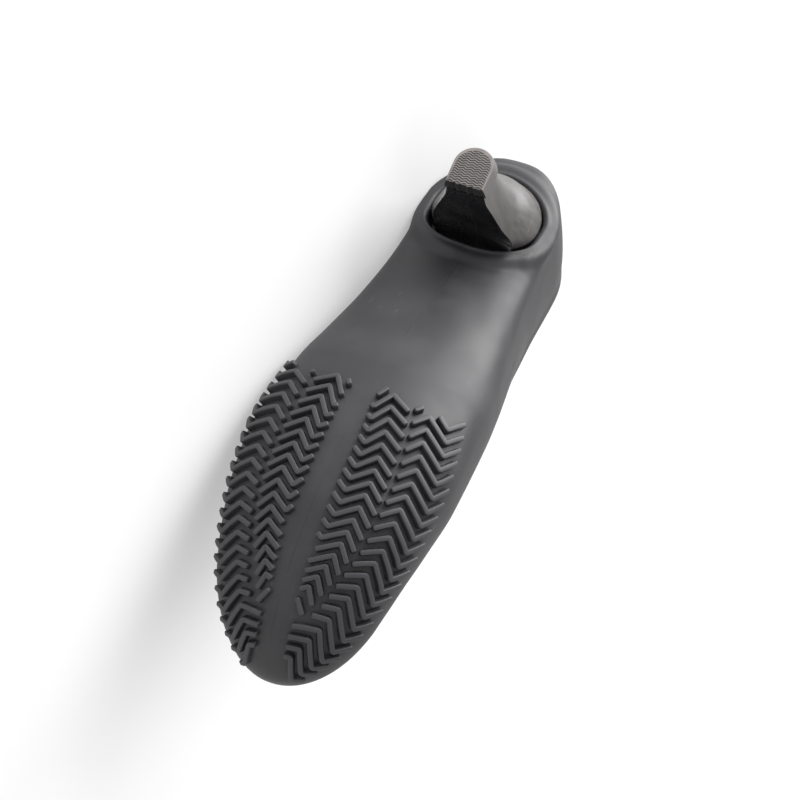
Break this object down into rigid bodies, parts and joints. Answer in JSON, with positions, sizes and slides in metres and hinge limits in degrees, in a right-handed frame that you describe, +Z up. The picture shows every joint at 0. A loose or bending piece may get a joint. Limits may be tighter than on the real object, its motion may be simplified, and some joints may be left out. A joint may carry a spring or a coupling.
{
  "type": "heel shoe cover",
  "caption": "Dark silicone overshoe for a heeled shoe, with herringbone tread under the forefoot and a rimmed opening through which a slim hard heel stands; lies on its side.",
  "frame": {"origin": "centre of the bounding box on the floor, the cover lying on its left side", "axes": "+X from heel to toe, -Y the way the sole faces, +Z up, out of the wearer's right side"},
  "size_m": [0.2406, 0.1172, 0.0818],
  "materials": {
    "silicone": "matte silicone with a soft sheen",
    "heel_wrap": "satin dark plastic",
    "top_lift_rubber": "worn grey rubber"
  },
  "bodies": {
    "root": {"cover_upper_and_sole": "silicone", "heel_block": "heel_wrap", "heel_top_lift": "top_lift_rubber"}
  },
  "joints": []
}
